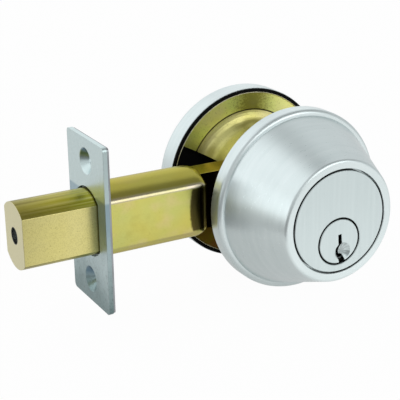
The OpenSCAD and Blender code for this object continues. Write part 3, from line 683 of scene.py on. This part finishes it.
def backPlate(name):
    look = backLook
    mat, tree, shader = newMaterial(name, {"Metallic": look["metal"]})
    where = place(tree)
    x, y, z = axes(tree, where)
    grain = noise(tree, where, *look["grain"])
    outside = ramp(tree, distance(tree, x, z), *look["blackFade"])
    color = mixColor(tree, outside, look["bare"], look["black"])
    roughness = ramp(tree, grain, *look["roughness"])
    surface(tree, shader, color, roughness, grain, look["bump"], look["edge"])
    return mat


turnedChrome = satinChrome("satinChromeTurned", "turned")
straightChrome = satinChrome("satinChromeStraight", "straight")
plateChrome = stainedShadedChrome("plateChrome")
keyFace = cylinderFace("cylinderFace")
collarBack = backPlate("collarBack")
caseZinc = yellowZinc("caseZinc", {}, [
    (shadedRoundFaces, "olive"), (caseEdges, "wearAndHighlight"), (endReflection, "paintedDark")])
railZinc = yellowZinc("railZinc", railLook, [
    (railBand("top"), "topShade"), (railBand("edges"), "wearAndHighlight"), (railBand("sides"), "paintedDark")])
zinc = yellowZinc("yellowZinc", {"oliveFade": (0.42, 0.28, 0.0, 0.5)})
dishZinc = housingZinc("housingZinc")
brass = boltBrass("boltBrass")
steel, springSteel, pinBrass, rubber, rollerSteel, nylon = map(plainMaterial, plainLooks)
print("lock: finishes made")

finishes = {
    "outer_collar": turnedChrome, "inside_rose": turnedChrome, "thumbturn": straightChrome,
    "faceplate": plateChrome, "backing_plate": steel, "outer_plate": collarBack,
    "cylinder_body": keyFace, "cylinder_plug": keyFace,
    "deadbolt": brass, "bolt_roller": rollerSteel, "bolt_tail": steel, "tail_rivet": steel,
    "bolt_case": caseZinc, "rear_case": railZinc, "rear_case_cover": railZinc,
    "support_housing": dishZinc, "support_ring": dishZinc, "mount_plate": zinc,
    "guard_ring": steel, "tailpiece": steel, "drive_cam": steel, "crank_pin": steel,
    "case_rivets": steel, "mounting_screws": steel, "rose_screws": steel, "retaining_ring": steel,
    "detent_spring": springSteel, "pin_springs": springSteel, "spring_washer": springSteel,
    "key_pins": pinBrass, "driver_pins": pinBrass,
    "pin_chamber_cover": pinBrass, "plug_cap": pinBrass,
    "rose_gasket": rubber, "turn_bushing": nylon,
}
for name, part in nodes.items():
    part.data.materials.clear()
    part.data.materials.append(finishes[name])
print("lock: finishes assigned")


# The camera stands to the left in front, a little above the lock.
view = {
    "place": (-0.20054, -0.31396, 0.13133),
    "azimuth": -28.791,                 # angles in degrees
    "elevation": 20.225,
    "roll": -0.772,
    "lens": 99.80,
    "clipStart": 0.01,
}


def addCamera():
    angles = [view[key] for key in ("azimuth", "elevation", "roll")]
    azimuth, elevation, roll = map(math.radians, angles)
    level = math.cos(elevation)
    back = Vector((math.sin(azimuth) * level, -math.cos(azimuth) * level, math.sin(elevation)))
    right = Vector((0, 0, 1)).cross(back).normalized()
    up = back.cross(right)
    right, up = (right * math.cos(roll) + up * math.sin(roll),
                 up * math.cos(roll) - right * math.sin(roll))
    data = bpy.data.cameras.new("camera")
    data.lens = view["lens"]
    data.clip_start = view["clipStart"]
    camera = bpy.data.objects.new("camera", data)
    turned = Matrix((right, up, back)).transposed().to_4x4()
    camera.matrix_world = Matrix.Translation(view["place"]) @ turned
    bpy.context.scene.collection.objects.link(camera)
    bpy.context.scene.camera = camera


# The floor is white to the camera. To the metal it is a table whose glow changes from place to
# place, and the world is a dim room with brighter panels.
studio = {
    "floorGap": 0.0005,
    "floorSize": 3.0,
    "floorColor": (0.80, 0.80, 0.80, 1),
    "floorRoughness": 0.9,
    "floorWhite": 0.97,                 # how white the floor shows to the camera
    "mirrored": 0.85,                   # share of the floor's own glow that metal shows
    "mirrorFront": 1.08,                # the glow in front of the lock
    "mirrorLeft": 0.18,                 # to the left in front
    "leftFade": (-0.125, -0.095),
    "leftSlant": 0.5,
    "mirrorBack": 0.78,                 # behind the lock
    "backFade": (-0.04, 0.01),
    "mirrorNear": 0.70,                 # under the lock
    "nearFade": (0.075, 0.035),
    "middle": -0.03,                    # the lock's middle along X
    "mirrorFace": 1.25,                 # and where the cylinder's face mirrors it
    "faceFade": (0.065, 0.02),
    "facing": (0.03, -0.085),
    "roomColor": (0.97, 0.99, 1, 1),
    "roomLight": 0.66,
    "white": (1, 1, 1, 1),
    "panels": [                         # direction, angle where full, angle where it ends, level
        ((0.40, -0.35, 0.85), 15, 50, 0.33),
        ((0.45, 0.46, 0.76), 8, 28, 0.82),
        ((0.75, 0.66, 0.10), 20, 45, 0.72),
        ((0.50, 0.80, 0.34), 8, 26, 1.05),
        ((-0.35, 0.82, 0.45), 15, 45, 1.12),
        ((0.45, -0.85, 0.22), 12, 40, 0.78),
        ((-0.60, 0.25, 0.75), 10, 35, 1.20),
        ((-0.96, 0.25, 0.05), 16, 34, 1.50),
    ],
    "lamps": [                          # name, place, size, power
        ("frontLamp", (0.35, -0.9, 0.45), 0.75, 2.0),
    ],
}


def seen(tree):
    # What the camera sees, also through glass, and what a glossy surface mirrors.
    path = addNode(tree, "ShaderNodeLightPath").outputs
    direct = math2(tree, "MAXIMUM", path["Is Camera Ray"], path["Is Transmission Ray"])
    return direct, path["Is Glossy Ray"]


def addFloor():
    height = cadBox[0][2] - studio["floorGap"]
    bpy.ops.mesh.primitive_plane_add(size=studio["floorSize"], location=(0, 0, height))
    floor = bpy.context.object
    floor.name = "floor"
    mat, tree, shader = newMaterial("paleFloor", {"Base Color": studio["floorColor"],
                                                  "Roughness": studio["floorRoughness"]})
    x, y, z = axes(tree, place(tree))
    slanted = plus(tree, x, times(tree, y, studio["leftSlant"]))
    glow = ramp(tree, slanted, *studio["leftFade"], studio["mirrorLeft"], studio["mirrorFront"])
    glow = mixValue(tree, ramp(tree, y, *studio["backFade"]), glow, studio["mirrorBack"])
    away = distance(tree, minus(tree, x, studio["middle"]), y)
    glow = mixValue(tree, ramp(tree, away, *studio["nearFade"]), glow, studio["mirrorNear"])
    spotX, spotY = studio["facing"]
    spot = distance(tree, minus(tree, x, spotX), minus(tree, y, spotY))
    glow = mixValue(tree, ramp(tree, spot, *studio["faceFade"]), glow, studio["mirrorFace"])
    direct, mirror = seen(tree)
    strength = mixValue(tree, mirror, 1.0, glow)
    emission = addNode(tree, "ShaderNodeEmission", {"Color": studio["white"],
                                                    "Strength": strength})
    share = math2(tree, "MAXIMUM", times(tree, direct, studio["floorWhite"]),
                  times(tree, mirror, studio["mirrored"]))
    mix = addNode(tree, "ShaderNodeMixShader", {0: share, 1: shader.outputs[0],
                                                2: emission.outputs[0]})
    tree.links.new(mix.outputs[0], tree.nodes["Material Output"].inputs["Surface"])
    floor.data.materials.append(mat)


def addWorld():
    world = bpy.data.worlds.new("studio")
    world.use_nodes = True
    bpy.context.scene.world = world
    tree = world.node_tree
    light = tree.nodes["Background"]
    light.inputs["Color"].default_value = studio["roomColor"]
    toward = addNode(tree, "ShaderNodeTexCoord").outputs["Generated"]
    strength = studio["roomLight"]
    for direction, full, end, brightness in studio["panels"]:
        aim = Vector(direction).normalized()
        facing = addNode(tree, "ShaderNodeVectorMath", {0: toward, 1: aim}, operation="DOT_PRODUCT")
        outer, inner = math.cos(math.radians(end)), math.cos(math.radians(full))
        edge = addNode(tree, "ShaderNodeMapRange",
                       {"Value": facing.outputs["Value"], "From Min": outer, "From Max": inner},
                       interpolation_type="SMOOTHSTEP")
        strength = mixValue(tree, edge.outputs["Result"], strength, brightness)
    tree.links.new(strength, light.inputs["Strength"])
    white = addNode(tree, "ShaderNodeBackground", {"Color": studio["white"], "Strength": 1.0})
    direct = seen(tree)[0]
    mix = addNode(tree, "ShaderNodeMixShader", {0: direct, 1: light.outputs[0],
                                                2: white.outputs[0]})
    tree.links.new(mix.outputs[0], tree.nodes["World Output"].inputs["Surface"])


def addLamp(name, where, size, power):
    data = bpy.data.lights.new(name, "AREA")
    data.size = size
    data.energy = power
    lamp = bpy.data.objects.new(name, data)
    lamp.location = where
    lamp.rotation_euler = (-Vector(where)).to_track_quat("-Z", "Y").to_euler()
    bpy.context.scene.collection.objects.link(lamp)


addCamera()
addFloor()
addWorld()
for lamp in studio["lamps"]:
    addLamp(*lamp)
bpy.context.scene.view_settings.view_transform = "Standard"
print("lock: camera and studio ready")
